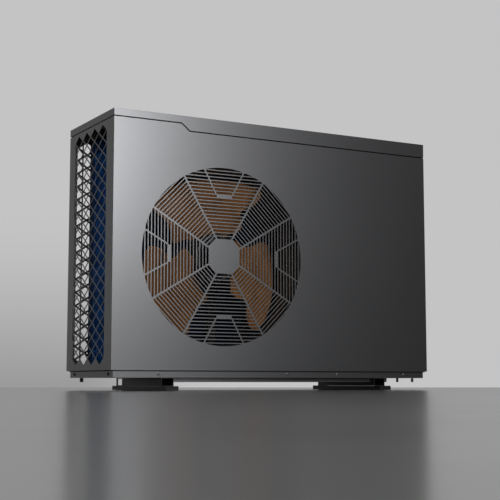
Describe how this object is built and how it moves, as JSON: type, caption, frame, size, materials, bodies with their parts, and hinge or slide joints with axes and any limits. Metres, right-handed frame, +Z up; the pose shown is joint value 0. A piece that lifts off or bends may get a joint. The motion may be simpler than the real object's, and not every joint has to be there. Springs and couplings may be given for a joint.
{
  "type": "pool heat pump unit",
  "caption": "Floor-standing air-source pool heat pump: flat sheet-metal casing with a round slotted fan grille, diamond-mesh air intake, swept axial fan and water unions.",
  "frame": {"origin": "centre of the bounding box's underside, where the feet rest on the ground", "axes": "+X along the front towards the compressor side, +Y from the fan grille to the back, +Z up"},
  "size_m": [1, 0.3892, 0.732],
  "materials": {
    "graphite_paint": "satin metallic powder coat",
    "black_steel": "matt black paint",
    "galvanised_steel": "zinc coated sheet",
    "rubber": "matt",
    "black_plastic": "moulded, fine grain",
    "bronze_blade": "moulded, bronze tint",
    "blue_fin": "hydrophilic blue coating on fine fins",
    "copper": "drawn copper tube",
    "brass": "machined",
    "bright_steel": "turned",
    "black_enamel": "gloss black enamel",
    "grey_pvc": "extruded PVC",
    "circuit_board": "lacquered board"
  },
  "bodies": {
    "casing": {"base_pan": "graphite_paint", "base_stiffener": "graphite_paint", "base_stiffener_end": "graphite_paint", "front_panel": "graphite_paint", "top_cover": "graphite_paint", "left_side_panel": "graphite_paint", "right_side_panel": "graphite_paint", "service_cover": "graphite_paint", "rear_corner_post": "graphite_paint", "rear_panel": "graphite_paint", "rear_guard": "black_steel", "foot_rail_left": "black_steel", "foot_rail_right": "black_steel", "foot_strip_left": "black_steel", "foot_strip_right": "black_steel", "fan_motor": "black_steel", "compressor_plate": "black_steel", "motor_plate": "black_steel", "motor_rail_left": "black_steel", "motor_rail_right": "black_steel", "partition_panel": "black_steel", "coil_end_plate_right": "galvanised_steel", "control_box": "galvanised_steel", "control_cover": "galvanised_steel", "compressor_grommet_1": "rubber", "compressor_grommet_2": "rubber", "compressor_grommet_3": "rubber", "handle_cup": "black_plastic", "drain_spout_rear": "black_plastic", "drain_spout_front": "black_plastic", "drain_spout_corner": "black_plastic", "fan_shroud": "black_plastic", "shroud_flange": "black_plastic", "terminal_block": "black_plastic", "cable_gland": "black_plastic", "evaporator_coil": "blue_fin", "coil_end_plate_left": "blue_fin", "coil_header": "copper", "discharge_pipe": "copper", "suction_pipe": "copper", "hot_gas_pipe": "copper", "coil_gas_pipe": "copper", "liquid_pipe": "copper", "four_way_valve": "brass", "expansion_valve": "brass", "compressor": "black_enamel", "accumulator": "black_enamel", "heat_exchanger": "grey_pvc", "water_inlet_tube": "grey_pvc", "water_outlet_tube": "grey_pvc", "control_board": "circuit_board"},
    "fan": {"fan_blade_1": "bronze_blade", "fan_blade_2": "bronze_blade", "fan_blade_3": "bronze_blade", "fan_hub": "black_plastic", "fan_nut": "bright_steel", "motor_shaft": "bright_steel"},
    "inlet_nut": {"union_nut_inlet": "black_plastic"},
    "outlet_nut": {"union_nut_outlet": "black_plastic"}
  },
  "joints": [
    {"name": "fan_spin", "type": "hinge", "parent": "casing", "child": "fan", "pos_m": [-0.1765, -0.10195, 0.3585], "axis": [0, 1, 0], "continuous": true},
    {"name": "inlet_nut_turn", "type": "hinge", "parent": "casing", "child": "inlet_nut", "pos_m": [0.405, 0.17705, 0.172], "axis": [0, 1, 0], "continuous": true},
    {"name": "outlet_nut_turn", "type": "hinge", "parent": "casing", "child": "outlet_nut", "pos_m": [0.405, 0.17705, 0.432], "axis": [0, 1, 0], "continuous": true}
  ]
}
